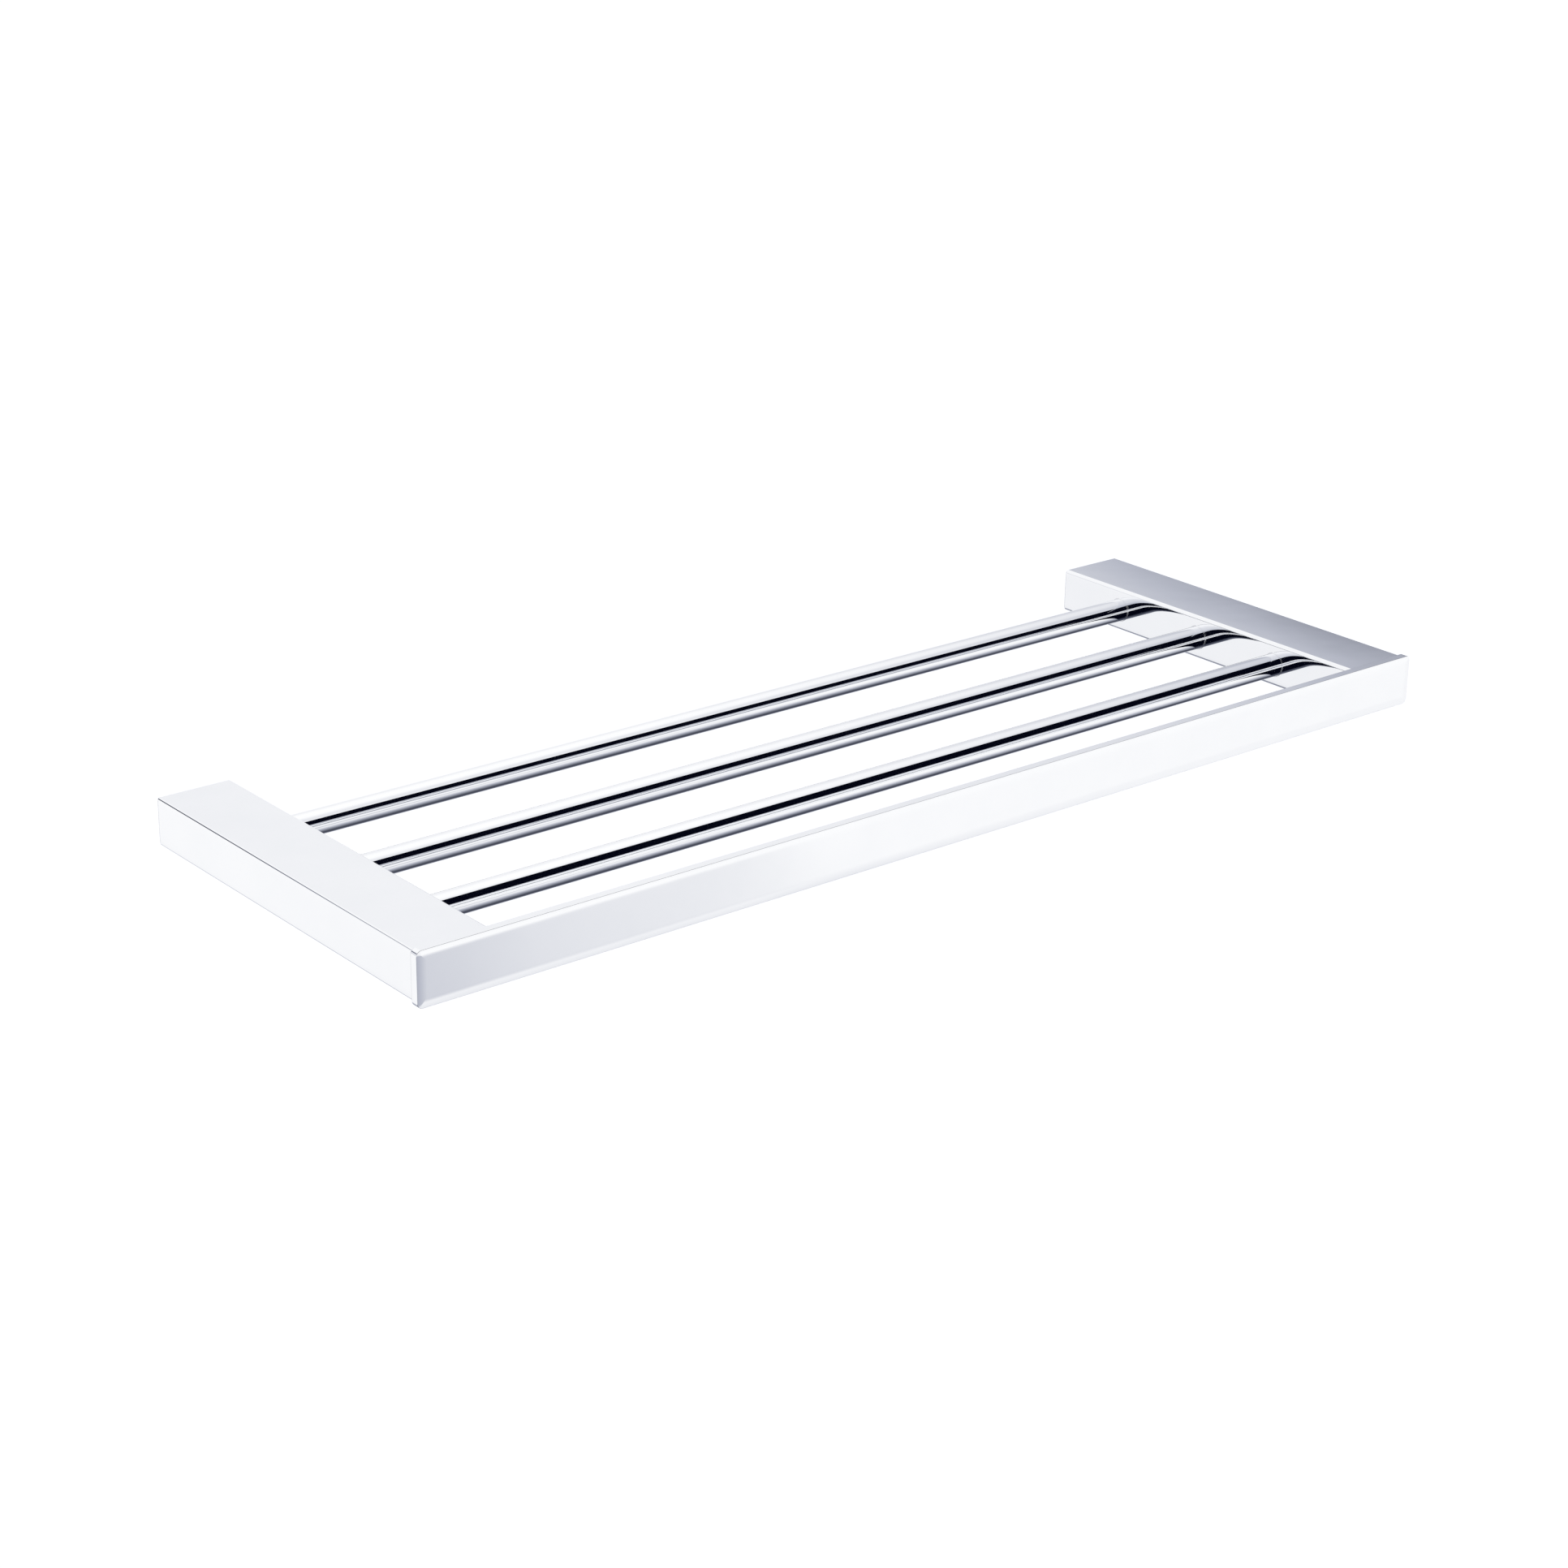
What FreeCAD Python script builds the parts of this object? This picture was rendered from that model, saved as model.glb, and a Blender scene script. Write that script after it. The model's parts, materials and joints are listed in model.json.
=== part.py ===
import FreeCAD, Part
import math
import os

# Wall-mounted towel rack: two hollow arms, three round rods and a flat front rail.
# Millimetres. X runs along the rack, Y towards the wall, Z up.
# The origin is on the wall plane, midway between the two wall plates.

# Arms
rack_width = 600.0          # outer face to outer face of the arms
arm_width = 38.0
arm_height = 23.0
arm_depth = 207.0
arm_side_flat = 8.2         # half height of the flat part of each side face
arm_side_roll = 16.0        # radius that rolls the side face inwards above and below the flat
arm_inner_edge_radius = 1.8   # on the side that faces the rods
arm_outer_edge_radius = 0.9
arm_wall = 2.5
arm_front_wall = 3.0
cavity_corner_radius = 1.0

# Rods
rod_radius = 6.0
rod_wall = 1.0
rod_rows = {"rear": -43.0, "middle": -100.5, "front": -155.0}
rod_insert = 12.0           # length of rod inside each arm
rod_end_gap = 0.2
socket_clearance = 0.05
socket_end_wall = 2.0
socket_block_depth = 18.0   # size of the socket block along Y

# Seat rings round the rods
ring_radius = 6.4
ring_thickness = 0.4
ring_edge_radius = 0.2

# Plugs in the rod ends
plug_length = 14.0
plug_clearance = 0.01
plug_pocket_clearance = 0.15

# Locking screws under the arms
rod_screw_radius = 1.95
rod_screw_length = 8.0
rod_screw_key = 2.0
arm_screw_radius = 2.45
arm_screw_length = 6.5
arm_screw_key = 2.5
arm_screw_y = -16.0
screw_recess = 0.2          # gap between a screw's face and the arm's underside
screw_clearance = 0.05
screw_chamfer = 0.6
screw_key_depth = 2.0
tube_hole_radius = 2.2      # hole in the rod for its locking screw

# Front rail
rail_overhang = 1.2
rail_thickness = 4.7
rail_top = 12.7
rail_bottom = -13.0
rail_corner_radius = 2.6
rail_front_edge_radius = 1.1
rail_back_edge_radius = 0.5

# Rail fixings
stud_x = 287.0
stud_radius = 2.5
stud_length = 14.4
stud_sunk = 2.4             # depth of the stud and the dowel in the back of the rail
stud_hole_radius = 2.75
dowel_x = 270.0
dowel_radius = 1.5
dowel_length = 5.2
fixing_clearance = 0.02
washer_radius = 5.0
washer_hole_radius = 2.65
washer_thickness = 1.0
nut_across_flats = 8.0
nut_thickness = 4.0
nut_hole_radius = 2.55
nut_chamfer = 0.4

# Wall plates
plate_gap = 0.3             # between the plate's edge and the arm's cavity
plate_thickness = 4.0
plate_hole_spacing = 20.0
plate_hole_radius = 2.4
plate_sink_radius = 4.5
plate_sink_depth = 2.1
lug_width = 10.0
lug_length = 24.0
lug_pocket_radius = 2.7
lug_pocket_depth = 4.1

# Derived sizes
half_width = rack_width / 2
arm_x = half_width - arm_width / 2
inner_face = half_width - arm_width
half_height = arm_height / 2
cavity_half_width = arm_width / 2 - arm_wall
cavity_half_height = half_height - arm_wall
socket_end = inner_face + rod_insert
block_end = socket_end + socket_end_wall
rod_half_length = socket_end - rod_end_gap
tube_bore = rod_radius - rod_wall
rod_screw_x = (inner_face + arm_wall + socket_end) / 2
screw_bottom = -half_height + screw_recess
tiny = 1e-4                 # tolerance for picking edges
past = 1.0                  # how far a cutter runs past the face it cuts


def vec(x, y, z):
    return FreeCAD.Vector(x, y, z)


def block(x0, x1, y0, y1, z0, z1):
    return Part.makeBox(x1 - x0, y1 - y0, z1 - z0, vec(x0, y0, z0))


def rod_x(radius, x0, x1, y, z):
    return Part.makeCylinder(radius, x1 - x0, vec(x0, y, z), vec(1, 0, 0))


def rod_y(radius, y0, y1, x, z):
    return Part.makeCylinder(radius, y1 - y0, vec(x, y0, z), vec(0, 1, 0))


def rod_z(radius, z0, z1, x, y):
    return Part.makeCylinder(radius, z1 - z0, vec(x, y, z0), vec(0, 0, 1))


def hexagon(across_flats, length, base, direction):
    """Hexagonal prism that starts at base and runs along direction."""
    corner = across_flats / math.sqrt(3)
    points = []
    for index in range(7):
        turn = math.radians(60 * index)
        points.append(vec(corner * math.cos(turn), corner * math.sin(turn), 0))
    prism = Part.Face(Part.makePolygon(points)).extrude(vec(0, 0, length))
    prism.Placement = FreeCAD.Placement(base, FreeCAD.Rotation(vec(0, 0, 1), direction))
    return prism


def edges_along(shape, direction):
    """Straight edges of shape that run parallel to direction."""
    found = []
    for edge in shape.Edges:
        if len(edge.Vertexes) == 2 and isinstance(edge.Curve, Part.Line):
            if abs(abs(edge.Curve.Direction.dot(direction)) - 1) < tiny:
                found.append(edge)
    return found


def edges_on_plane(shape, y):
    """Edges of shape that lie wholly in the plane at y."""
    found = []
    for edge in shape.Edges:
        box = edge.BoundBox
        if abs(box.YMin - y) < tiny and abs(box.YMax - y) < tiny:
            found.append(edge)
    return found


def mirrored(shape):
    return shape.mirror(vec(0, 0, 0), vec(1, 0, 0))


def corner_arc(centre_x, centre_z, radius, start, end, sign_x, sign_z):
    """Arc in the XZ plane, flipped by the two signs into one corner of the section."""
    points = []
    for turn in (start, (start + end) / 2, end):
        x = sign_x * (centre_x + radius * math.cos(turn))
        z = sign_z * (centre_z + radius * math.sin(turn))
        points.append(vec(x, 0, z))
    return Part.Arc(points[0], points[1], points[2]).toShape()


def arm_section():
    """Section of the right arm: flat sides that roll in towards the rounded top and bottom edges."""
    half = arm_width / 2
    roll_x = half - arm_side_roll
    edges = []
    top_ends = []
    for sign_x, edge_radius in ((1, arm_outer_edge_radius), (-1, arm_inner_edge_radius)):
        edge_z = half_height - edge_radius
        reach = arm_side_roll - edge_radius
        edge_x = roll_x + math.sqrt(reach ** 2 - (edge_z - arm_side_flat) ** 2)
        meet = math.atan2(edge_z - arm_side_flat, edge_x - roll_x)
        side = sign_x * half
        edges.append(Part.makeLine(vec(side, 0, -arm_side_flat), vec(side, 0, arm_side_flat)))
        for sign_z in (1, -1):
            edges.append(corner_arc(roll_x, arm_side_flat, arm_side_roll, 0, meet, sign_x, sign_z))
            edges.append(corner_arc(edge_x, edge_z, edge_radius, meet, math.pi / 2, sign_x, sign_z))
        top_ends.append(sign_x * edge_x)
    for face in (half_height, -half_height):
        edges.append(Part.makeLine(vec(top_ends[1], 0, face), vec(top_ends[0], 0, face)))
    return Part.Face(Part.Wire(Part.__sortEdges__(edges)))


def make_right_arm():
    arm = arm_section().extrude(vec(0, -arm_depth, 0))
    cavity = block(-cavity_half_width, cavity_half_width, arm_front_wall - arm_depth, 0,
                   -cavity_half_height, cavity_half_height)
    cavity = cavity.makeFillet(cavity_corner_radius, edges_along(cavity, vec(0, 1, 0)))
    arm = arm.cut(cavity)
    arm.translate(vec(arm_x, 0, 0))
    inner_wall_inside = inner_face + arm_wall
    for y in rod_rows.values():
        arm = arm.fuse(block(inner_wall_inside - past, block_end, y - socket_block_depth / 2,
                             y + socket_block_depth / 2, -cavity_half_height - past,
                             cavity_half_height + past))
    for y in rod_rows.values():
        arm = arm.cut(rod_x(rod_radius + socket_clearance, inner_face - past, socket_end, y, 0))
        arm = arm.cut(rod_z(rod_screw_radius + screw_clearance, -half_height - past, 0,
                            rod_screw_x, y))
    arm = arm.cut(rod_z(arm_screw_radius + screw_clearance, -half_height - past, 0,
                        arm_x, arm_screw_y))
    front = -arm_depth
    arm = arm.cut(rod_y(stud_hole_radius, front - past, front + arm_front_wall + past, stud_x, 0))
    arm = arm.cut(rod_y(dowel_radius + fixing_clearance, front - past, front + arm_front_wall + past,
                        dowel_x, 0))
    return arm.removeSplitter()


def make_rod(y):
    rod = rod_x(rod_radius, -rod_half_length, rod_half_length, y, 0)
    rod = rod.cut(rod_x(tube_bore, -rod_half_length - past, rod_half_length + past, y, 0))
    for x in (-rod_screw_x, rod_screw_x):
        rod = rod.cut(rod_z(tube_hole_radius, -rod_radius - past, 0, x, y))
    return rod


def make_ring(y):
    ring = rod_x(ring_radius, inner_face - ring_thickness, inner_face, y, 0)
    far_edge = [edge for edge in ring.Edges
                if edge.BoundBox.XMax < inner_face - ring_thickness + tiny]
    ring = ring.makeFillet(ring_edge_radius, far_edge)
    return ring.cut(rod_x(rod_radius + socket_clearance, inner_face - ring_thickness - past,
                          inner_face + past, y, 0))


def make_plug(y):
    plug = rod_x(tube_bore - plug_clearance, rod_half_length - plug_length, rod_half_length, y, 0)
    pocket_top = screw_bottom + rod_screw_length + plug_pocket_clearance
    return plug.cut(rod_z(rod_screw_radius + plug_pocket_clearance, -rod_radius, pocket_top,
                          rod_screw_x, y))


def make_grub_screw(radius, length, key, x, y):
    top = screw_bottom + length
    screw = rod_z(radius, screw_bottom, top, x, y)
    tip = [edge for edge in screw.Edges if edge.BoundBox.ZMin > top - tiny]
    screw = screw.makeChamfer(screw_chamfer, tip)
    socket = hexagon(key, screw_key_depth, vec(x, y, screw_bottom), vec(0, 0, 1))
    return screw.cut(socket)


def make_front_rail():
    half_length = half_width + rail_overhang
    back = -arm_depth
    front = back - rail_thickness
    rail = block(-half_length, half_length, front, back, rail_bottom, rail_top)
    rail = rail.makeFillet(rail_corner_radius, edges_along(rail, vec(0, 1, 0)))
    rail = rail.makeFillet(rail_front_edge_radius, edges_on_plane(rail, front))
    rail = rail.makeFillet(rail_back_edge_radius, edges_on_plane(rail, back))
    for sign in (-1, 1):
        rail = rail.cut(rod_y(stud_radius + fixing_clearance, back - stud_sunk, back + past,
                              sign * stud_x, 0))
        rail = rail.cut(rod_y(dowel_radius + fixing_clearance, back - stud_sunk, back + past,
                              sign * dowel_x, 0))
    return rail


def make_rail_stud():
    start = -arm_depth - stud_sunk
    return rod_y(stud_radius, start, start + stud_length, stud_x, 0)


def make_rail_dowel():
    start = -arm_depth - stud_sunk
    return rod_y(dowel_radius, start, start + dowel_length, dowel_x, 0)


def make_rail_washer():
    seat = -arm_depth + arm_front_wall
    washer = rod_y(washer_radius, seat, seat + washer_thickness, stud_x, 0)
    return washer.cut(rod_y(washer_hole_radius, seat - past, seat + washer_thickness + past, stud_x, 0))


def make_rail_nut():
    seat = -arm_depth + arm_front_wall + washer_thickness
    nut = hexagon(nut_across_flats, nut_thickness, vec(stud_x, seat, 0), vec(0, 1, 0))
    limit = rod_y(nut_across_flats / 2 + nut_chamfer, seat, seat + nut_thickness, stud_x, 0)
    limit = limit.makeChamfer(nut_chamfer, [edge for edge in limit.Edges
                                            if not isinstance(edge.Curve, Part.Line)])
    nut = nut.common(limit)
    return nut.cut(rod_y(nut_hole_radius, seat - past, seat + nut_thickness + past, stud_x, 0))


def make_right_wall_plate():
    half_x = cavity_half_width - plate_gap
    half_z = cavity_half_height - plate_gap
    plate = block(arm_x - half_x, arm_x + half_x, -plate_thickness, 0, -half_z, half_z)
    plate = plate.makeFillet(cavity_corner_radius, edges_along(plate, vec(0, 1, 0)))
    lug = block(arm_x - lug_width / 2, arm_x + lug_width / 2, -plate_thickness - lug_length,
                -plate_thickness / 2, -half_z, half_z)
    plate = plate.fuse(lug).removeSplitter()
    for offset in (-plate_hole_spacing / 2, plate_hole_spacing / 2):
        x = arm_x + offset
        plate = plate.cut(rod_y(plate_hole_radius, -plate_thickness - past, past, x, 0))
        sink = Part.makeCone(plate_sink_radius, plate_hole_radius, plate_sink_depth,
                             vec(x, -plate_thickness, 0), vec(0, 1, 0))
        plate = plate.cut(sink)
    pocket = rod_z(lug_pocket_radius, -half_z - past, -half_z + lug_pocket_depth, arm_x, arm_screw_y)
    return plate.cut(pocket)


right_arm = make_right_arm()
right_rings = [make_ring(y) for y in rod_rows.values()]
right_plugs = [make_plug(y) for y in rod_rows.values()]
right_rod_screws = [make_grub_screw(rod_screw_radius, rod_screw_length, rod_screw_key,
                                    rod_screw_x, y) for y in rod_rows.values()]
right_arm_screw = make_grub_screw(arm_screw_radius, arm_screw_length, arm_screw_key,
                                  arm_x, arm_screw_y)
right_wall_plate = make_right_wall_plate()
rail_stud = make_rail_stud()
rail_dowel = make_rail_dowel()
rail_washer = make_rail_washer()
rail_nut = make_rail_nut()

nodes = {
    "right_arm": right_arm,
    "left_arm": mirrored(right_arm),
    "front_rail": make_front_rail(),
    "right_seat_rings": Part.makeCompound(right_rings),
    "left_seat_rings": mirrored(Part.makeCompound(right_rings)),
    "right_rod_plugs": Part.makeCompound(right_plugs),
    "left_rod_plugs": mirrored(Part.makeCompound(right_plugs)),
    "right_rod_screws": Part.makeCompound(right_rod_screws),
    "left_rod_screws": mirrored(Part.makeCompound(right_rod_screws)),
    "right_arm_screw": right_arm_screw,
    "left_arm_screw": mirrored(right_arm_screw),
    "right_rail_stud": rail_stud,
    "left_rail_stud": mirrored(rail_stud),
    "right_rail_dowel": rail_dowel,
    "left_rail_dowel": mirrored(rail_dowel),
    "right_rail_washer": rail_washer,
    "left_rail_washer": mirrored(rail_washer),
    "right_rail_nut": rail_nut,
    "left_rail_nut": mirrored(rail_nut),
    "right_wall_plate": right_wall_plate,
    "left_wall_plate": mirrored(right_wall_plate),
}
for row, row_y in rod_rows.items():
    nodes[row + "_rod"] = make_rod(row_y)

os.makedirs("parts", exist_ok=True)
for name, shape in nodes.items():
    shape.exportStep("parts/" + name + ".step")
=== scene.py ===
import json
import math

import bmesh
import bpy
from mathutils import Matrix, Vector


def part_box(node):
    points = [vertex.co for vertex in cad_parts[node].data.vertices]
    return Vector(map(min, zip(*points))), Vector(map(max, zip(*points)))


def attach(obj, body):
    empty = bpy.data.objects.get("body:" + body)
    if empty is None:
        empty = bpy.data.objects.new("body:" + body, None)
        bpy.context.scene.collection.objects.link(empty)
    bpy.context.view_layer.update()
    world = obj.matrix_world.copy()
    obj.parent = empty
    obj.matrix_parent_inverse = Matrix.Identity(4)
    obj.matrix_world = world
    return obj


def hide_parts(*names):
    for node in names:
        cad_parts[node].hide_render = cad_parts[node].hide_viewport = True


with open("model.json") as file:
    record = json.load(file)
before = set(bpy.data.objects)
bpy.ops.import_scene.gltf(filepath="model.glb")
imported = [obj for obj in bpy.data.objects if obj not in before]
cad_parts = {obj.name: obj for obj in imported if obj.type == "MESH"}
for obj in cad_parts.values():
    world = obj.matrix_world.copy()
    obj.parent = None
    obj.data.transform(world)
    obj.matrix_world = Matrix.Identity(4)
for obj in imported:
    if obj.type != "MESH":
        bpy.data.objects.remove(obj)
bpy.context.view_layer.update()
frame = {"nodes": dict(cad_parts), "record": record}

MM = 0.001
scene = bpy.context.scene

# ---------------------------------------------------------------- sizes, in mm
ARM_SIDE_FLAT = 5.5          # half height of the flat part of each side
ARM_SIDE_ROLL = 0.20         # degrees of tilt per square mm above and below the flat
ARM_INNER_EDGE = 1.8
ARM_OUTER_EDGE = 0.9
ARM_CROWN = 0.2              # degrees of tilt at the edges of the top and bottom
ARM_WALL = 2.5
ARM_FRONT_WALL = 3.0
ARM_RIM_RADIUS = 0.6         # round rim at the wall end
ARM_FRONT_BEVEL = 0.25
ROD_RADIUS = 6.0
ROD_BORE = 5.0
ROD_RIM = 0.15
ROD_SEAM = 1.0               # how far inside the arms a rod's long skin ends
ROD_SOCKET_RADIUS = 6.05
ROD_INSERT = 12.0
SOCKET_BLOCK_REACH = 11.5
SOCKET_BLOCK_DEPTH = 18.0
ROD_SCREW_HOLE = 2.0
ROD_SCREW_HOLE_TOP = -3.0
ROD_SCREW_GRIP = 2.2
ROD_SCREW_GRIP_TOP = -2.0
ARM_SCREW_HOLE = 2.5
ARM_SCREW_HOLE_TOP = -8.0
SCREW_HOLE_FLARE = 0.15
STUD_HOLE = 2.75
STUD_POCKET = 2.52
DOWEL_HOLE = 1.52
ARM_FRONT_HOLE_DEPTH = 4.0
RING_RADIUS = 6.4
RING_EDGE = 0.2
RING_OVERLAP = 0.03          # how far a ring reaches inside the socket's radius
RAIL_CORNER = 2.6
RAIL_EDGE = 0.15
RAIL_PILLOW_TILT = 5.0       # degrees of tilt where the front face meets its edge
RAIL_PILLOW_REACH = 4.5
RAIL_BACK_EDGE = 0.5
RAIL_POCKET_DEPTH = 2.4
SMALLEST_CORNER = 0.02
CUT_OVERRUN = 1.0            # how far a cutter starts outside the surface it cuts
SKIN_GAP = 0.02              # vertices nearer the outline than this lie on the skin

# Limits on a face's normal, as parts of its length, and angles in degrees that count as hard edges.
SKIN_LEAN = 0.01             # a skin face leans along the arm by less than this
SKIN_MATCH = 0.9             # and agrees with the section's normal by more than this
END_FACING = 0.95            # an end face points along the arm by more than this
FLAT_FACING = 0.9999         # a flat face points across the arm by more than this
SHARP_ANGLE = 30.0
RAIL_SHARP_ANGLE = 40.0
RING_SHARP_ANGLE = 50.0

ROWS = ("rear", "middle", "front")


def node_box(name):
    low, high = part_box(name)
    return Vector(low) / MM, Vector(high) / MM


def node_centre(name):
    low, high = node_box(name)
    return (low + high) / 2


arm_low, arm_high = node_box("right_arm")
rail_low, rail_high = node_box("front_rail")
rod_boxes = {row: node_box(row + "_rod") for row in ROWS}
rod_y = {row: (low.y + high.y) / 2 for row, (low, high) in rod_boxes.items()}
rod_end = rod_boxes["rear"][1].x
arm_x = (arm_low.x + arm_high.x) / 2
arm_half = (arm_high.x - arm_low.x) / 2
arm_half_height = arm_high.z
inner_face = arm_low.x
arm_front = arm_low.y
socket_end = inner_face + ROD_INSERT
rod_screw_x = node_centre("right_rod_screws").x
arm_screw = node_centre("right_arm_screw")
stud = node_centre("right_rail_stud")
dowel = node_centre("right_rail_dowel")


# ---------------------------------------------------------------- node helpers
class Nodes:
    """Adds and links the nodes of one shader tree."""

    def __init__(self, tree):
        self.tree = tree
        tree.nodes.clear()

    def add(self, kind, inputs=None, **attributes):
        node = self.tree.nodes.new(kind)
        for name, value in attributes.items():
            setattr(node, name, value)
        for key, value in (inputs or {}).items():
            if isinstance(value, bpy.types.NodeSocket):
                self.tree.links.new(value, node.inputs[key])
            else:
                node.inputs[key].default_value = value
        return node

    def math(self, operation, first, second=0.0, third=0.0):
        node = self.add("ShaderNodeMath", {0: first, 1: second, 2: third}, operation=operation)
        return node.outputs[0]

    def remap(self, value, low, high, to_low=0.0, to_high=1.0):
        node = self.add("ShaderNodeMapRange", {"Value": value, "From Min": low, "From Max": high,
                                               "To Min": to_low, "To Max": to_high})
        return node.outputs[0]

    def ramp(self, value, stops):
        node = self.add("ShaderNodeValToRGB", {"Fac": value})
        ramp = node.color_ramp
        while len(ramp.elements) > 1:
            ramp.elements.remove(ramp.elements[-1])
        ramp.elements[0].position = stops[0][0]
        ramp.elements[0].color = (*stops[0][1], 1)
        for position, colour in stops[1:]:
            ramp.elements.new(position).color = (*colour, 1)
        return node.outputs[0]


# ---------------------------------------------------------------- studio
# Levels of the studio round the rack, as (angle, grey). The angle turns about the rods in degrees:
# 0 is towards the wall, 90 is up, 180 is towards the viewer and -90 is down.
STUDIO_RIGHT = (
    (-180, 0.70), (-173, 0.70), (-167, 0.90), (-160, 0.985), (-150, 0.97), (-140, 0.905),
    (-128, 0.75), (-116, 0.59), (-104, 0.45), (-92, 0.31), (-82, 0.27), (-75, 0.29), (-67, 0.37),
    (-56, 0.51), (-44, 0.68), (-35, 0.80), (-29, 0.95), (-20, 0.985), (4, 0.965), (20, 0.935),
    (30, 0.94), (42, 0.97), (64, 0.995), (90, 0.99), (102, 0.95), (114, 0.90), (134, 0.92),
    (158, 0.85), (166, 0.72), (180, 0.70))
STUDIO_MIDDLE = (
    (-180, 0.80), (-155, 0.78), (-140, 0.80), (-100, 0.50), (-70, 0.50), (-48, 0.60), (-36, 0.66),
    (-27, 0.93), (-24, 0.20), (-18, 0.20), (-15, 0.80), (-8, 0.88), (0, 0.74), (20, 0.80),
    (26, 0.94), (36, 0.97), (44, 0.98), (60, 0.95), (80, 0.88), (120, 0.72), (150, 0.75),
    (180, 0.80))
STUDIO_LEFT = (
    (-180, 0.93), (-170, 0.95), (-155, 0.86), (-140, 0.80), (-122, 0.45), (-106, 0.10),
    (-98, 0.20), (-85, 0.30), (-70, 0.36), (-55, 0.43), (-45, 0.56), (-38, 0.93), (-30, 0.965),
    (-18, 0.975), (-11, 0.95), (-5, 0.85), (3, 0.85), (9, 0.92), (16, 0.96), (40, 0.97),
    (56, 0.93), (80, 0.87), (100, 0.845), (112, 0.80), (130, 0.72), (180, 0.93))

# Four zones are dimmed. Each is a pair: shares by how far the direction points to the right, from
# -1 to 1, and shares by the angle above. The two shares are multiplied.
DIM_FAR_RIGHT = (
    (0.56, 0.0), (0.60, 0.04), (0.64, 0.10), (0.676, 0.182), (0.7095, 0.356), (0.7297, 0.584),
    (0.74, 0.66), (0.80, 0.70))
DIM_RIGHT_TURN = (
    (-28, 0.0), (-20, 0.16), (4, 0.40), (14, 0.65), (20, 1.0), (24.1, 1.0), (25.8, 0.75),
    (27.9, 0.47), (29, 0.43), (33, 0.62), (42, 0.72), (60, 0.50), (128, 0.50), (160, 0.0))
DIM_SIDE_LEFT = ((-0.80, 0.03), (-0.64, 0.03), (-0.56, 0.0))
DIM_SIDE_TURN = ((-44, 0.0), (-34, 1.0), (-19, 1.0), (-14, 0.0))
DIM_FRONT_LEFT = ((0.30, 0.26), (0.49, 0.165), (0.525, 0.09), (0.575, 0.055), (0.60, 0.0))
DIM_FRONT_TURN = ((-157.5, 0.0), (-155, 1.0), (-148.5, 1.0), (-146, 0.0))
DIM_EDGE_SIDE = ((-0.62, 0.0), (-0.58, 0.70), (-0.40, 0.70), (-0.34, 0.0))
DIM_EDGE_TURN = ((-10, 0.0), (-5, 1.0), (20, 1.0), (30, 0.0))

# One zone low on the right is lifted in the same way.
LIFT_LOW_SIDE = ((0.61, 0.0), (0.69, 0.12), (0.80, 0.12))
LIFT_LOW_TURN = ((-148, 0.0), (-132, 0.8), (-116, 1.0), (-102, 1.0), (-90, 0.2), (-84, 0.0))

WHITE = (1, 1, 1, 1)
FAR_LEFT_GREY = (0.85, 0.85, 0.85, 1)
# Spans over which one set of levels gives way to the next, left to right.
FAR_LEFT_SPAN = (-0.88, -0.81)
LEFT_SPAN = (-0.40, -0.1)
RIGHT_SPAN = (0.1, 0.48)
COOL_RATE = 3.6
COOL_RED = 0.012
COOL_BLUE = 0.046
STUDIO_GAMMA = 2.2
STUDIO_STRENGTH = 1.045

# Floor: metres from its middle to each side, its height, and the light it gives off itself.
FLOOR_REACH = 60.0
FLOOR_HEIGHT = -0.75
FLOOR_COLOUR = (0.95, 0.95, 0.95, 1)
FLOOR_ROUGHNESS = 0.9
FLOOR_GLOW = 0.35

# Black flags, in metres. The overhead one is given by its x span and two edges as (y, z), the
# other two by their outlines as (y, z).
FLAG_COLOUR = (0.0007, 0.0012, 0.0055, 1)
FLAG_SPAN_X = (-0.6, 1.6)
FLAG_BACK = (-0.243, 0.219)
FLAG_FRONT = (-0.461, 0.097)
FLAG_LEFT_X = -0.36
FLAG_LEFT_UPPER = (
    (-0.30, 0.38), (-0.75, 0.57), (-3.0, 1.5), (-3.0, -0.40), (-0.80, -0.085), (-0.46, -0.03),
    (-0.40, 0.10))
FLAG_LEFT_LOWER = (
    (-0.46, -0.115), (-0.80, -0.21), (-3.0, -0.85), (-3.0, -2.5), (-0.55, -1.6), (-0.30, -0.80),
    (-0.21, -0.45), (-0.30, -0.20))

# Camera: place in metres, turns in degrees, lens and sensor in mm.
CAMERA_PLACE = (-0.93141, -1.19902, 0.54368)
CAMERA_YAW = -39.678
CAMERA_PITCH = 21.436
CAMERA_ROLL = 0.980
CAMERA_LENS = 73.533
CAMERA_SENSOR = 36.0


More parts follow.
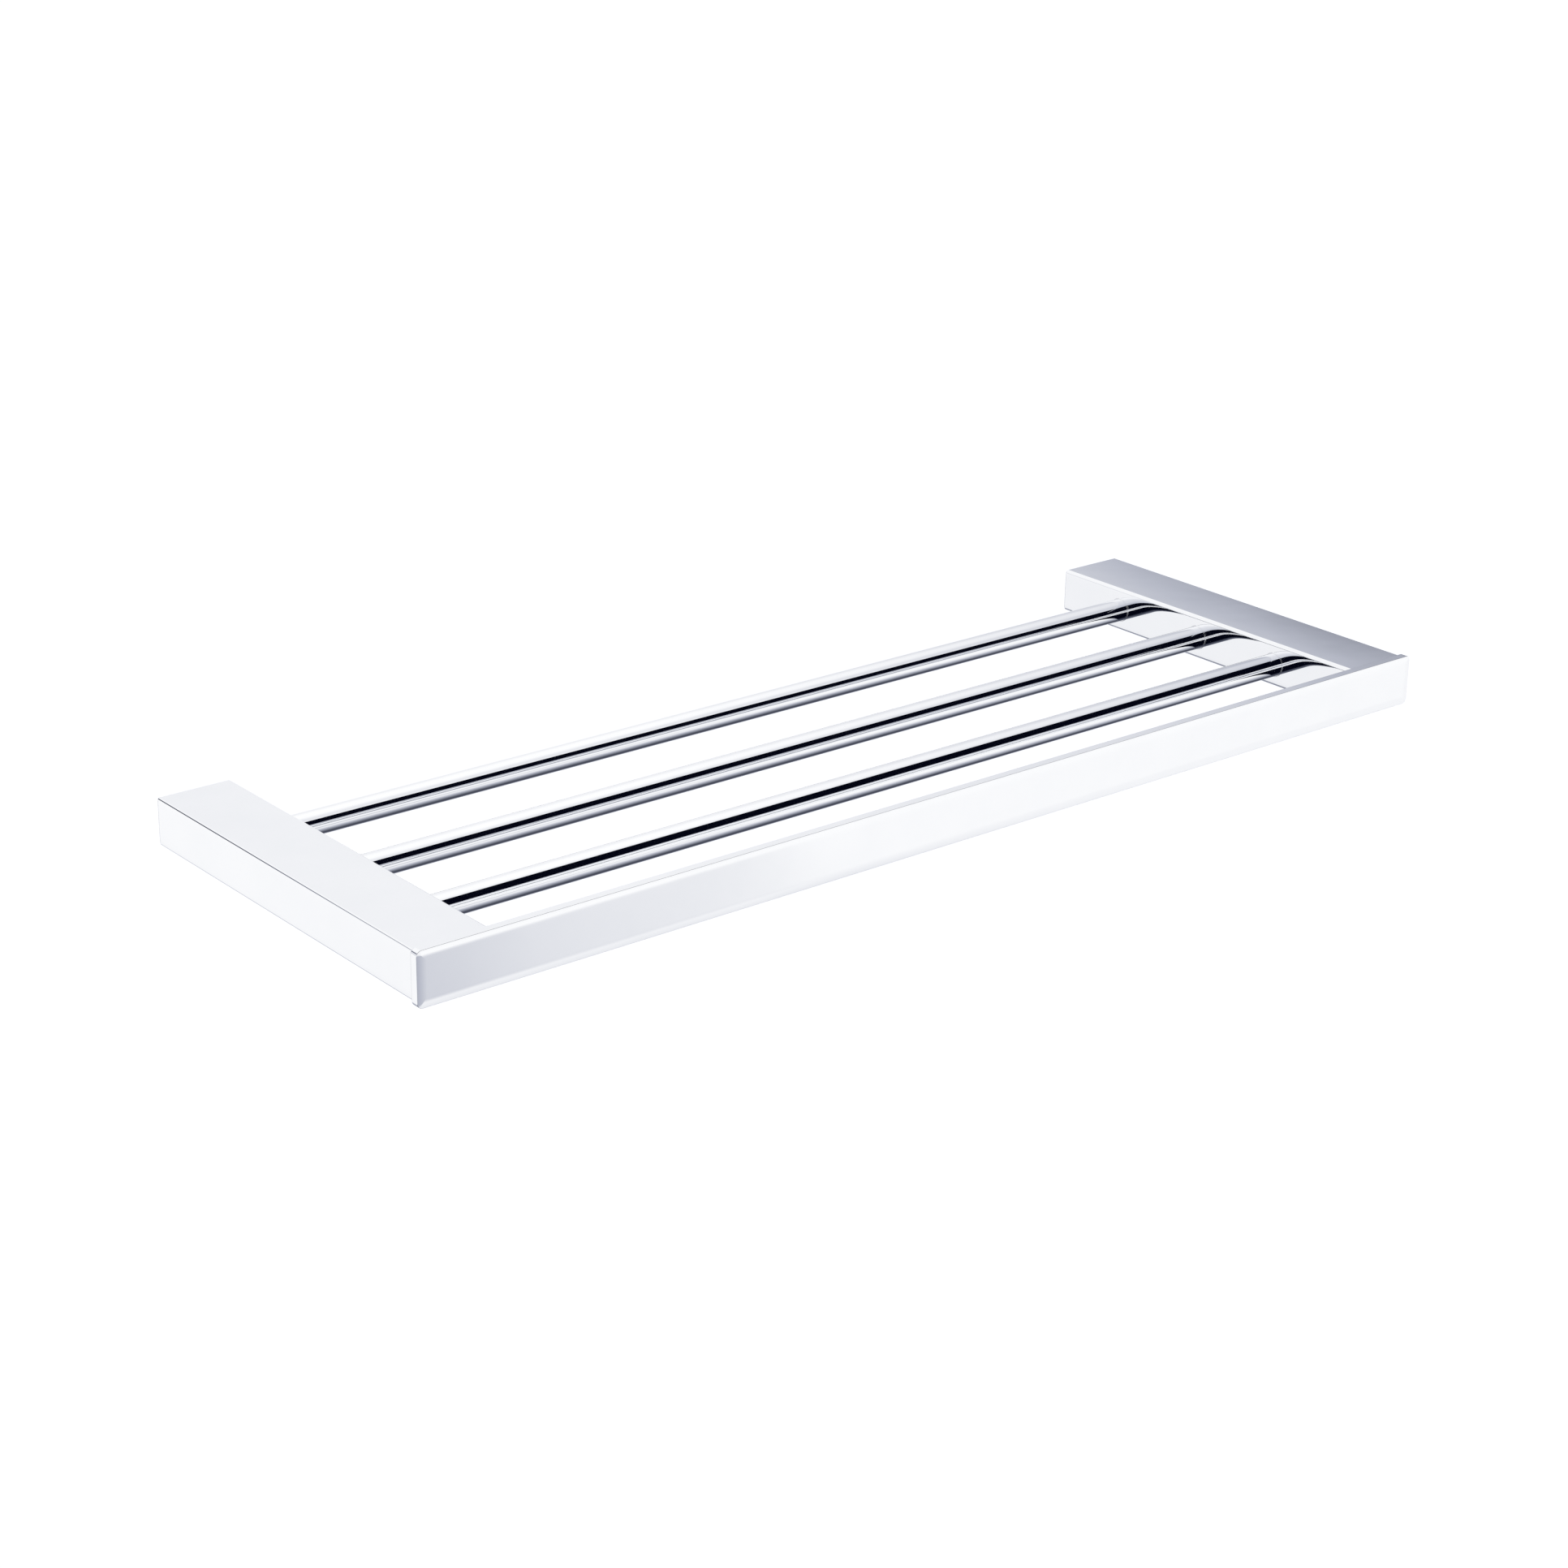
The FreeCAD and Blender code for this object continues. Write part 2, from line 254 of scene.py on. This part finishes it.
def make_world():
    world = bpy.data.worlds.new("studio")
    scene.world = world
    world.use_nodes = True
    n = Nodes(world.node_tree)
    direction = n.add("ShaderNodeTexCoord").outputs["Generated"]
    split = n.add("ShaderNodeSeparateXYZ", {0: direction}).outputs
    turn = n.remap(n.math("ARCTAN2", split[2], split[1]), -math.pi, math.pi)
    sideways = n.remap(split[0], -1.0, 1.0)

    def by_turn(stops):
        return n.ramp(turn, [((angle + 180) / 360, (level, level, level)) for angle, level in stops])

    def by_side(stops):
        return n.ramp(sideways, [((x + 1) / 2, (level, level, level)) for x, level in stops])

    def blend(first, second, span):
        share = n.remap(split[0], *span)
        mix = n.add("ShaderNodeMix", {"Factor": share, "A": first, "B": second}, data_type="RGBA")
        return mix.outputs["Result"]

    far_left = blend(FAR_LEFT_GREY, by_turn(STUDIO_LEFT), FAR_LEFT_SPAN)
    left_half = blend(far_left, by_turn(STUDIO_MIDDLE), LEFT_SPAN)
    level = blend(left_half, by_turn(STUDIO_RIGHT), RIGHT_SPAN)
    far = n.math("MULTIPLY", by_side(DIM_FAR_RIGHT), by_turn(DIM_RIGHT_TURN))
    front = n.math("MULTIPLY", by_side(DIM_FRONT_LEFT), by_turn(DIM_FRONT_TURN))
    edge = n.math("MULTIPLY", by_side(DIM_EDGE_SIDE), by_turn(DIM_EDGE_TURN))
    side = n.math("MULTIPLY", by_side(DIM_SIDE_LEFT), by_turn(DIM_SIDE_TURN))
    dimmed = n.math("ADD", n.math("ADD", far, front), n.math("ADD", edge, side))
    kept = n.math("SUBTRACT", 1.0, dimmed)
    lift = n.math("MULTIPLY", by_side(LIFT_LOW_SIDE), by_turn(LIFT_LOW_TURN))
    level = n.math("MULTIPLY_ADD", level, kept, lift)

    # greys turn a little blue, white stays white
    darkness = n.math("SUBTRACT", 1.0, level)
    cool = n.math("MINIMUM", n.math("MULTIPLY", darkness, COOL_RATE), 1.0)
    red = n.math("SUBTRACT", level, n.math("MULTIPLY", cool, COOL_RED))
    blue = n.math("ADD", level, n.math("MULTIPLY", cool, COOL_BLUE))
    colour = n.add("ShaderNodeCombineXYZ", {0: red, 1: level, 2: blue}).outputs[0]
    linear = n.add("ShaderNodeGamma", {"Color": colour, "Gamma": STUDIO_GAMMA}).outputs[0]

    # the camera sees plain white behind the rack
    seen = n.add("ShaderNodeLightPath").outputs["Is Camera Ray"]
    final = n.add("ShaderNodeMix", {"Factor": seen, "A": linear, "B": WHITE},
                  data_type="RGBA").outputs["Result"]
    shader = n.add("ShaderNodeBackground", {"Color": final, "Strength": STUDIO_STRENGTH}).outputs[0]
    n.add("ShaderNodeOutputWorld", {"Surface": shader})


def stage_panel(name, points, shader_inputs, shader="ShaderNodeEmission"):
    """Flat studio panel through the points, which are in metres."""
    bm = bmesh.new()
    bm.faces.new([bm.verts.new(p) for p in points])
    mesh = bpy.data.meshes.new(name)
    bm.to_mesh(mesh)
    bm.free()
    panel = bpy.data.objects.new(name, mesh)
    scene.collection.objects.link(panel)
    material = bpy.data.materials.new(name)
    material.use_nodes = True
    n = Nodes(material.node_tree)
    n.add("ShaderNodeOutputMaterial", {"Surface": n.add(shader, shader_inputs).outputs[0]})
    mesh.materials.append(material)
    return panel


def make_floor():
    sides = ((-1, -1), (1, -1), (1, 1), (-1, 1))
    corners = [(x * FLOOR_REACH, y * FLOOR_REACH, FLOOR_HEIGHT) for x, y in sides]
    paint = {"Base Color": FLOOR_COLOUR, "Roughness": FLOOR_ROUGHNESS, "Emission Color": WHITE,
             "Emission Strength": FLOOR_GLOW}
    floor = stage_panel("floor", corners, paint, "ShaderNodeBsdfPrincipled")
    floor.visible_glossy = False


def make_flags():
    """Black studio flags: they draw the dark bands in the chrome and the camera doesn't see them."""
    low, high = FLAG_SPAN_X
    overhead = [(low, *FLAG_BACK), (high, *FLAG_BACK), (high, *FLAG_FRONT), (low, *FLAG_FRONT)]
    left_upper = [(FLAG_LEFT_X, y, z) for y, z in FLAG_LEFT_UPPER]
    left_lower = [(FLAG_LEFT_X, y, z) for y, z in FLAG_LEFT_LOWER]
    flags = (("flag_overhead", overhead), ("flag_left_upper", left_upper),
             ("flag_left_lower", left_lower))
    for name, points in flags:
        flag = stage_panel(name, points, {"Color": FLAG_COLOUR, "Strength": 1.0})
        flag.visible_camera = False
        flag.visible_diffuse = False
        flag.visible_shadow = False


def make_camera():
    data = bpy.data.cameras.new("camera")
    data.sensor_width = CAMERA_SENSOR
    data.lens = CAMERA_LENS
    data.clip_start = 0.01
    data.clip_end = 200.0
    data.dof.use_dof = False
    camera = bpy.data.objects.new("camera", data)
    scene.collection.objects.link(camera)
    yaw = Matrix.Rotation(math.radians(CAMERA_YAW), 4, "Z")
    pitch = Matrix.Rotation(math.pi / 2 - math.radians(CAMERA_PITCH), 4, "X")
    roll = Matrix.Rotation(math.radians(CAMERA_ROLL), 4, "Z")
    camera.matrix_world = Matrix.Translation(CAMERA_PLACE) @ (yaw @ pitch @ roll)
    scene.camera = camera


# ---------------------------------------------------------------- materials
CHROMES = {"arm_chrome": 0.035, "rod_chrome": 0.03, "rail_chrome": 0.035}      # roughness of each
METALS = {                                                                     # colour and roughness
    "screw_steel": ((0.62, 0.62, 0.63), 0.3),
    "plate_steel": ((0.66, 0.67, 0.68), 0.35),
    "plug_brass": ((0.78, 0.62, 0.33), 0.3)}
NOISE_LOW = 0.3              # span of the noise that carries its variation
NOISE_HIGH = 0.7
BUMP_DISTANCE = 0.0001       # metres
CHROME_DARK = (0.955, 0.962, 0.975)
CHROME_LIGHT = (0.975, 0.98, 0.99)
CHROME_ROUGHNESS_SPREAD = (0.8, 1.25)
CHROME_BUMP = 0.2
HAZE_SCALE = 38.0
BUFF_SCALE = 45.0
METAL_DARKENING = 0.86
METAL_ROUGHNESS_SPREAD = (0.8, 1.2)
METAL_BUMP = 0.25
SCRATCH_STRETCH = (300.0, 300.0, 20.0)
SCRATCH_SCALE = 3.0


def metal_shader(n, tone, rough, height, bump_strength):
    bump = n.add("ShaderNodeBump", {"Height": height, "Strength": bump_strength,
                                    "Distance": BUMP_DISTANCE}).outputs[0]
    shader = n.add("ShaderNodeBsdfPrincipled", {"Base Color": tone, "Metallic": 1.0,
                                                "Roughness": rough, "Normal": bump})
    n.add("ShaderNodeOutputMaterial", {"Surface": shader.outputs[0]})


def chrome(name, roughness):
    """Polished chrome with a faint haze and a faint unevenness from buffing."""
    material = bpy.data.materials.new(name)
    material.use_nodes = True
    n = Nodes(material.node_tree)
    place = n.add("ShaderNodeTexCoord").outputs["Object"]
    haze = n.add("ShaderNodeTexNoise", {"Vector": place, "Scale": HAZE_SCALE, "Detail": 4.0,
                                        "Roughness": 0.55}).outputs["Fac"]
    smoothest, roughest = (roughness * spread for spread in CHROME_ROUGHNESS_SPREAD)
    rough = n.remap(haze, NOISE_LOW, NOISE_HIGH, smoothest, roughest)
    tone = n.ramp(haze, [(NOISE_LOW, CHROME_DARK), (NOISE_HIGH, CHROME_LIGHT)])
    buffed = n.add("ShaderNodeTexNoise", {"Vector": place, "Scale": BUFF_SCALE,
                                          "Detail": 1.0}).outputs["Fac"]
    metal_shader(n, tone, rough, buffed, CHROME_BUMP)
    return material


def metal(name, colour, roughness):
    """Plain metal with fine scratches along one way."""
    material = bpy.data.materials.new(name)
    material.use_nodes = True
    n = Nodes(material.node_tree)
    place = n.add("ShaderNodeTexCoord").outputs["Object"]
    stretched = n.add("ShaderNodeMapping", {"Vector": place, "Scale": SCRATCH_STRETCH}).outputs[0]
    grain = n.add("ShaderNodeTexNoise", {"Vector": stretched, "Scale": SCRATCH_SCALE,
                                         "Detail": 3.0}).outputs["Fac"]
    dark = tuple(c * METAL_DARKENING for c in colour)
    tone = n.ramp(grain, [(NOISE_LOW, dark), (NOISE_HIGH, colour)])
    smoothest, roughest = (roughness * spread for spread in METAL_ROUGHNESS_SPREAD)
    rough = n.remap(grain, NOISE_LOW, NOISE_HIGH, smoothest, roughest)
    metal_shader(n, tone, rough, grain, METAL_BUMP)
    return material


# ---------------------------------------------------------------- mesh helpers
def link(name, mesh):
    piece = bpy.data.objects.new(name, mesh)
    scene.collection.objects.link(piece)
    return piece


def to_mesh(name, bm):
    mesh = bpy.data.meshes.new(name)
    bmesh.ops.recalc_face_normals(bm, faces=bm.faces)
    bm.to_mesh(mesh)
    bm.free()
    return mesh


def join_rings(bm, rings):
    """Faces between each ring of vertices and the next one."""
    count = len(rings[0])
    for first, second in zip(rings, rings[1:]):
        for k in range(count):
            j = (k + 1) % count
            bm.faces.new((first[k], first[j], second[j], second[k]))


def close_rings(name, bm, rings):
    """Closed mesh from a row of rings, with a face over the first and the last."""
    join_rings(bm, rings)
    bm.faces.new(rings[0])
    bm.faces.new(rings[-1])
    return to_mesh(name, bm)


def cylinder(axis, radius, start, end, centre, flare=0.0, segments=48):
    """Closed cylinder mesh along an axis, in mm. It starts outside the surface and may flare there."""
    bm = bmesh.new()
    stations = [(start, radius)]
    if flare:
        surface = start + CUT_OVERRUN
        stations = [(start, radius + flare + CUT_OVERRUN), (surface, radius + flare),
                    (surface + flare, radius)]
    stations.append((end, radius))
    rings = []
    for along, r in stations:
        ring = []
        for k in range(segments):
            t = 2 * math.pi * (k + 0.5) / segments
            u = r * math.cos(t)
            v = r * math.sin(t)
            point = {"x": (along, centre[1] + u, centre[2] + v),
                     "y": (centre[0] + v, along, centre[2] + u),
                     "z": (centre[0] + u, centre[1] + v, along)}[axis]
            ring.append(bm.verts.new(Vector(point) * MM))
        rings.append(ring)
    return close_rings("cutter", bm, rings)


def cut(mesh, cutters):
    """The mesh minus each of the cutter meshes."""
    piece = link("work", mesh)
    for cutter_mesh in cutters:
        cutter = link("cutter", cutter_mesh)
        modifier = piece.modifiers.new("cut", "BOOLEAN")
        modifier.operation = "DIFFERENCE"
        modifier.solver = "EXACT"
        modifier.object = cutter
        graph = bpy.context.evaluated_depsgraph_get()
        result = bpy.data.meshes.new_from_object(piece.evaluated_get(graph))
        piece.modifiers.clear()
        piece.data = result
        bpy.data.objects.remove(cutter)
    result = piece.data
    bpy.data.objects.remove(piece)
    return result


# ---------------------------------------------------------------- arms
def side_corner(edge_radius):
    """Quarter of the arm's section, from mid height to mid width, as (x, z, normal x, normal z) in mm.

    The side leaves the flat gently, rolls through the edge radius and meets a slightly crowned top.
    """
    side_steps = 26
    edge_steps = 14
    crown_steps = 8
    crown = math.radians(ARM_CROWN)
    roll = math.radians(ARM_SIDE_ROLL)
    drop = (arm_half - edge_radius) * math.tan(crown / 2)
    edge_top = arm_half_height - drop
    # the height where the side ends is found by halving
    halvings = 40
    low = ARM_SIDE_FLAT
    high = edge_top
    for _ in range(halvings):
        side_end = (low + high) / 2
        tilt = roll * (side_end - ARM_SIDE_FLAT) ** 2
        if side_end + edge_radius * (math.cos(crown) - math.sin(tilt)) < edge_top:
            low = side_end
        else:
            high = side_end
    points = []
    for k in range(side_steps + 1):
        rise = (side_end - ARM_SIDE_FLAT) * k / side_steps
        tilt = roll * rise ** 2
        x = arm_half - roll * rise ** 3 / 3
        points.append((x, ARM_SIDE_FLAT + rise, math.cos(tilt), math.sin(tilt)))
    edge_x = x - edge_radius * math.cos(tilt)
    edge_z = side_end - edge_radius * math.sin(tilt)
    for k in range(1, edge_steps + 1):
        t = tilt + (math.pi / 2 - crown - tilt) * k / edge_steps
        points.append((edge_x + edge_radius * math.cos(t), edge_z + edge_radius * math.sin(t),
                       math.cos(t), math.sin(t)))
    last_x, last_z = points[-1][:2]
    for k in range(1, crown_steps):
        u = 1 - k / crown_steps
        z = last_z + (arm_half_height - last_z) * (1 - u * u)
        points.append((last_x * u, z, math.sin(crown * u), math.cos(crown * u)))
    return points


def arm_profile():
    """Closed outline of the right arm's section, about the arm's centre."""
    outer = side_corner(ARM_OUTER_EDGE)
    inner = side_corner(ARM_INNER_EDGE)
    top = arm_half_height
    outline = outer + [(0.0, top, 0.0, 1.0)]
    outline += [(-x, z, -nx, nz) for x, z, nx, nz in reversed(inner)]
    outline += [(-x, -z, -nx, -nz) for x, z, nx, nz in inner] + [(0.0, -top, 0.0, -1.0)]
    outline += [(x, -z, nx, -nz) for x, z, nx, nz in reversed(outer)]
    return outline


def arm_body(outline):
    """Outside of the right arm as a closed solid, round at the wall end and bevelled in front."""
    bm = bmesh.new()
    rim_steps = 5
    stations = []
    for k in range(rim_steps + 1):
        t = math.pi / 2 * k / rim_steps
        y = arm_high.y - ARM_RIM_RADIUS * (1 - math.sin(t))
        stations.append((y, ARM_RIM_RADIUS * (1 - math.cos(t))))
    stations.reverse()
    stations += [(arm_front + ARM_FRONT_BEVEL, 0.0), (arm_front, ARM_FRONT_BEVEL)]
    rings = []
    for y, inset in stations:
        rings.append([bm.verts.new(Vector((arm_x + x - inset * nx, y, z - inset * nz)) * MM)
                      for x, z, nx, nz in outline])
    return close_rings("arm", bm, rings)


def arm_cavity():
    """Hollow of the right arm, notched where the rod sockets stand."""
    outer = arm_high.x - ARM_WALL
    inner = arm_low.x + ARM_WALL
    block = inner + SOCKET_BLOCK_REACH
    back = arm_high.y + CUT_OVERRUN
    front = arm_front + ARM_FRONT_WALL
    plan = [(outer, back), (outer, front), (inner, front)]
    for row in ("front", "middle", "rear"):
        near = rod_y[row] - SOCKET_BLOCK_DEPTH / 2
        far = rod_y[row] + SOCKET_BLOCK_DEPTH / 2
        plan += [(inner, near), (block, near), (block, far), (inner, far)]
    plan.append((inner, back))
    half = arm_half_height - ARM_WALL
    bm = bmesh.new()
    low = [bm.verts.new(Vector((x, y, -half)) * MM) for x, y in plan]
    high = [bm.verts.new(Vector((x, y, half)) * MM) for x, y in plan]
    return close_rings("cavity", bm, [low, high])


def profile_normal(outline, x, z):
    """Outward normal of the arm's section at its outline point nearest to (x, z), and the gap."""
    best = math.inf
    normal = None
    for first, second in zip(outline, outline[1:] + outline[:1]):
        ax, az, start_x, start_z = first
        bx, bz, end_x, end_z = second
        dx = bx - ax
        dz = bz - az
        length = dx * dx + dz * dz
        t = max(0.0, min(1.0, ((x - ax) * dx + (z - az) * dz) / length))
        gap = (ax + t * dx - x) ** 2 + (az + t * dz - z) ** 2
        if gap < best:
            best = gap
            normal = Vector((start_x + t * (end_x - start_x), 0, start_z + t * (end_z - start_z)))
    return normal.normalized(), math.sqrt(best)


def skin_normal(outline, side, point):
    """Outward normal of one arm's section nearest to the point, and the gap: side is 1 or -1."""
    normal, gap = profile_normal(outline, side * point.x - arm_x, point.z)
    normal.x *= side
    return normal, gap


def set_arm_normals(mesh, outline, side):
    """Exact outer normals on the skin, so that the long flats mirror without a bend.

    Of the other faces, the flat ones and the ends keep their own normal.
    """
    mesh.shade_smooth()
    skin_normals = {}
    for vertex in mesh.vertices:
        normal, gap = skin_normal(outline, side, vertex.co / MM)
        if gap < SKIN_GAP:
            skin_normals[vertex.index] = normal
    normals = [Vector(c.vector) for c in mesh.corner_normals]
    for polygon in mesh.polygons:
        facing = polygon.normal
        on_skin = abs(facing.y) < SKIN_LEAN and all(v in skin_normals for v in polygon.vertices)
        if on_skin:
            expected, gap = skin_normal(outline, side, polygon.center / MM)
            on_skin = facing.dot(expected) > SKIN_MATCH
        flat = abs(facing.y) > END_FACING or max(abs(facing.x), abs(facing.z)) > FLAT_FACING
        for loop in polygon.loop_indices:
            if on_skin:
                normals[loop] = skin_normals[mesh.loops[loop].vertex_index]
            elif flat:
                normals[loop] = facing.copy()
    mesh.normals_split_custom_set(normals)


def mark_sharp(mesh, degrees):
    """Smooth faces, with a hard edge wherever the surface turns by at least that many degrees."""
    bm = bmesh.new()
    bm.from_mesh(mesh)
    limit = math.radians(degrees)
    for edge in bm.edges:
        edge.smooth = len(edge.link_faces) == 2 and edge.calc_face_angle(math.pi) < limit
    for face in bm.faces:
        face.smooth = True
    bm.to_mesh(mesh)
    bm.free()


def make_arms(material):
    outline = arm_profile()
    cutters = [arm_cavity()]
    for row in ROWS:
        cutters.append(cylinder("x", ROD_SOCKET_RADIUS, inner_face - CUT_OVERRUN, socket_end,
                                (0, rod_y[row], 0), segments=96))
    below = -arm_half_height - CUT_OVERRUN
    for row in ROWS:
        cutters.append(cylinder("z", ROD_SCREW_HOLE, below, ROD_SCREW_HOLE_TOP,
                                (rod_screw_x, rod_y[row], 0), SCREW_HOLE_FLARE))
    cutters.append(cylinder("z", ARM_SCREW_HOLE, below, ARM_SCREW_HOLE_TOP,
                            (arm_screw.x, arm_screw.y, 0), SCREW_HOLE_FLARE))
    ahead = arm_front - CUT_OVERRUN
    hole_end = arm_front + ARM_FRONT_HOLE_DEPTH
    cutters.append(cylinder("y", STUD_HOLE, ahead, hole_end, (stud.x, 0, 0)))
    cutters.append(cylinder("y", DOWEL_HOLE, ahead, hole_end, (dowel.x, 0, 0)))
    mesh = cut(arm_body(outline), cutters)
    mesh.name = "right_arm_skin"
    mark_sharp(mesh, SHARP_ANGLE)
    mirror = mesh.copy()
    mirror.name = "left_arm_skin"
    mirror.transform(Matrix.Scale(-1, 4, (1, 0, 0)))
    mirror.flip_normals()
    set_arm_normals(mesh, outline, 1)
    set_arm_normals(mirror, outline, -1)
    for side, data in (("right", mesh), ("left", mirror)):
        data.materials.clear()
        data.materials.append(material)
        arm = link(side + "_arm_chrome", data)
        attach(arm, "root")
        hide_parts(side + "_arm")


# ---------------------------------------------------------------- rods and rings
def lathe_x(profile, y, segments=128):
    """Closed profile of (x, radius) in mm, swept round an axis along X at that y."""
    bm = bmesh.new()
    rings = []
    for x, radius in profile:
        ring = []
        for k in range(segments):
            t = 2 * math.pi * k / segments
            point = Vector((x, y + radius * math.cos(t), radius * math.sin(t)))
            ring.append(bm.verts.new(point * MM))
        rings.append(ring)
    join_rings(bm, rings + rings[:1])
    return to_mesh("lathe", bm)


def add_piece(name, mesh, material, nodes):
    mesh.name = name
    mesh.materials.clear()
    mesh.materials.append(material)
    piece = link(name, mesh)
    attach(piece, "root")
    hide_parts(*nodes)


def make_rods(material):
    for row in ROWS:
        y = rod_y[row]
        profile = [(-rod_end, ROD_BORE + ROD_RIM), (-rod_end, ROD_RADIUS - ROD_RIM),
                   (-rod_end + ROD_RIM, ROD_RADIUS),
                   (-inner_face - ROD_SEAM, ROD_RADIUS), (inner_face + ROD_SEAM, ROD_RADIUS),
                   (rod_end - ROD_RIM, ROD_RADIUS), (rod_end, ROD_RADIUS - ROD_RIM),
                   (rod_end, ROD_BORE + ROD_RIM),
                   (rod_end - ROD_RIM, ROD_BORE), (-rod_end + ROD_RIM, ROD_BORE)]
        holes = []
        for side in (-1, 1):
            holes.append(cylinder("z", ROD_SCREW_GRIP, -ROD_RADIUS - CUT_OVERRUN, ROD_SCREW_GRIP_TOP,
                                  (side * rod_screw_x, y, 0)))
        mesh = cut(lathe_x(profile, y), holes)
        mark_sharp(mesh, SHARP_ANGLE)
        add_piece(row + "_rod_tube", mesh, material, [row + "_rod"])


def make_rings(material):
    low, high = node_box("right_seat_rings")
    bore = ROD_SOCKET_RADIUS - RING_OVERLAP
    edge = RING_EDGE
    edge_steps = 6
    profile = [(high.x, bore), (high.x, RING_RADIUS)]
    for k in range(edge_steps + 1):
        t = math.pi / 2 * k / edge_steps
        x = low.x + edge - edge * math.sin(t)
        profile.append((x, RING_RADIUS - edge + edge * math.cos(t)))
    profile.append((low.x, bore))
    for side, sign in (("left", -1), ("right", 1)):
        bm = bmesh.new()
        for row in ROWS:
            ring = lathe_x([(sign * x, radius) for x, radius in profile], rod_y[row])
            bm.from_mesh(ring)
        mesh = to_mesh("rings", bm)
        mark_sharp(mesh, RING_SHARP_ANGLE)
        add_piece(side + "_rod_rings", mesh, material, [side + "_seat_rings"])


# ---------------------------------------------------------------- front rail
def rail_outline(inset):
    """The rail seen from the front, with round corners: (x, z, normal x, normal z), inset all round."""
    corner_steps = 10
    radius = max(RAIL_CORNER - inset, SMALLEST_CORNER)
    reach = max(RAIL_CORNER, inset + SMALLEST_CORNER)
    left = rail_low.x + reach
    right = rail_high.x - reach
    bottom = rail_low.z + reach
    top = rail_high.z - reach
    points = []
    for cx, cz, start in ((right, top, 0), (left, top, 90), (left, bottom, 180), (right, bottom, 270)):
        for k in range(corner_steps + 1):
            t = math.radians(start + 90 * k / corner_steps)
            nx = math.cos(t)
            nz = math.sin(t)
            points.append((cx + radius * nx, cz + radius * nz, nx, nz))
    return points


def rail_stations():
    """Steps of the rail's skin from back to front: (inset from the outline, y, tilt of the normal).

    The tilt is in degrees: -90 faces the wall, 0 faces outward and 90 faces the front.
    """
    front = rail_low.y
    back = rail_high.y
    stations = []
    back_steps = 8
    for k in range(back_steps + 1):
        tilt = 90 - 90 * k / back_steps
        t = math.radians(tilt)
        inset = RAIL_BACK_EDGE * (1 - math.cos(t))
        stations.append((inset, back - RAIL_BACK_EDGE * (1 - math.sin(t)), -tilt))
    tip = math.radians(RAIL_PILLOW_TILT)
    pillow_depth = (RAIL_PILLOW_REACH * math.tan(tip)) / 2
    edge_steps = 12
    shoulder_inset = RAIL_EDGE * (1 - math.sin(tip))
    for k in range(edge_steps + 1):
        t = math.radians((90 - RAIL_PILLOW_TILT) * k / edge_steps)
        inset = RAIL_EDGE * (1 - math.cos(t))
        y = front + pillow_depth + RAIL_EDGE * (math.cos(tip) - math.sin(t))
        stations.append((inset, y, math.degrees(t)))
    pillow_steps = 14
    for k in range(1, pillow_steps + 1):
        u = k / pillow_steps
        inset = shoulder_inset + RAIL_PILLOW_REACH * u
        y = front + pillow_depth * (1 - u) ** 2
        stations.append((inset, y, 90 - RAIL_PILLOW_TILT * (1 - u)))
    return stations


def rounded_key(co):
    """A vertex's place to the nearest micrometre, to find it again after the pockets are cut."""
    return tuple(round(c * 1e6) for c in co)


def make_rail(material):
    bm = bmesh.new()
    normals = []
    rings = []
    for inset, y, tilt in rail_stations():
        t = math.radians(tilt)
        ring = []
        for x, z, nx, nz in rail_outline(inset):
            ring.append(bm.verts.new(Vector((x, y, z)) * MM))
            normals.append(Vector((nx * math.cos(t), -math.sin(t), nz * math.cos(t))))
        rings.append(ring)
    mesh = close_rings("rail", bm, rings)
    skin = {}
    for vertex, normal in zip(mesh.vertices, normals):
        skin[rounded_key(vertex.co)] = normal
    behind = rail_high.y + CUT_OVERRUN
    pocket_end = rail_high.y - RAIL_POCKET_DEPTH
    holes = []
    for side in (-1, 1):
        holes.append(cylinder("y", STUD_POCKET, behind, pocket_end, (side * stud.x, 0, 0)))
        holes.append(cylinder("y", DOWEL_HOLE, behind, pocket_end, (side * dowel.x, 0, 0)))
    mesh = cut(mesh, holes)
    mark_sharp(mesh, RAIL_SHARP_ANGLE)
    loops = [Vector(c.vector) for c in mesh.corner_normals]
    for polygon in mesh.polygons:
        for loop in polygon.loop_indices:
            co = mesh.vertices[mesh.loops[loop].vertex_index].co
            exact = skin.get(rounded_key(co))
            if exact is not None:
                loops[loop] = exact
    mesh.normals_split_custom_set(loops)
    add_piece("front_rail_chrome", mesh, material, ["front_rail"])


make_world()
make_floor()
make_flags()
make_camera()
scene.view_settings.view_transform = "Standard"

materials = {name: chrome(name, roughness) for name, roughness in CHROMES.items()}
for name, (colour, roughness) in METALS.items():
    materials[name] = metal(name, colour, roughness)

make_arms(materials["arm_chrome"])
make_rods(materials["rod_chrome"])
make_rings(materials["rod_chrome"])
make_rail(materials["rail_chrome"])
for subpart in frame["record"]["subparts"]:
    node = frame["nodes"][subpart["node"]]
    node.data.materials.clear()
    node.data.materials.append(materials[subpart["material_slot"]])
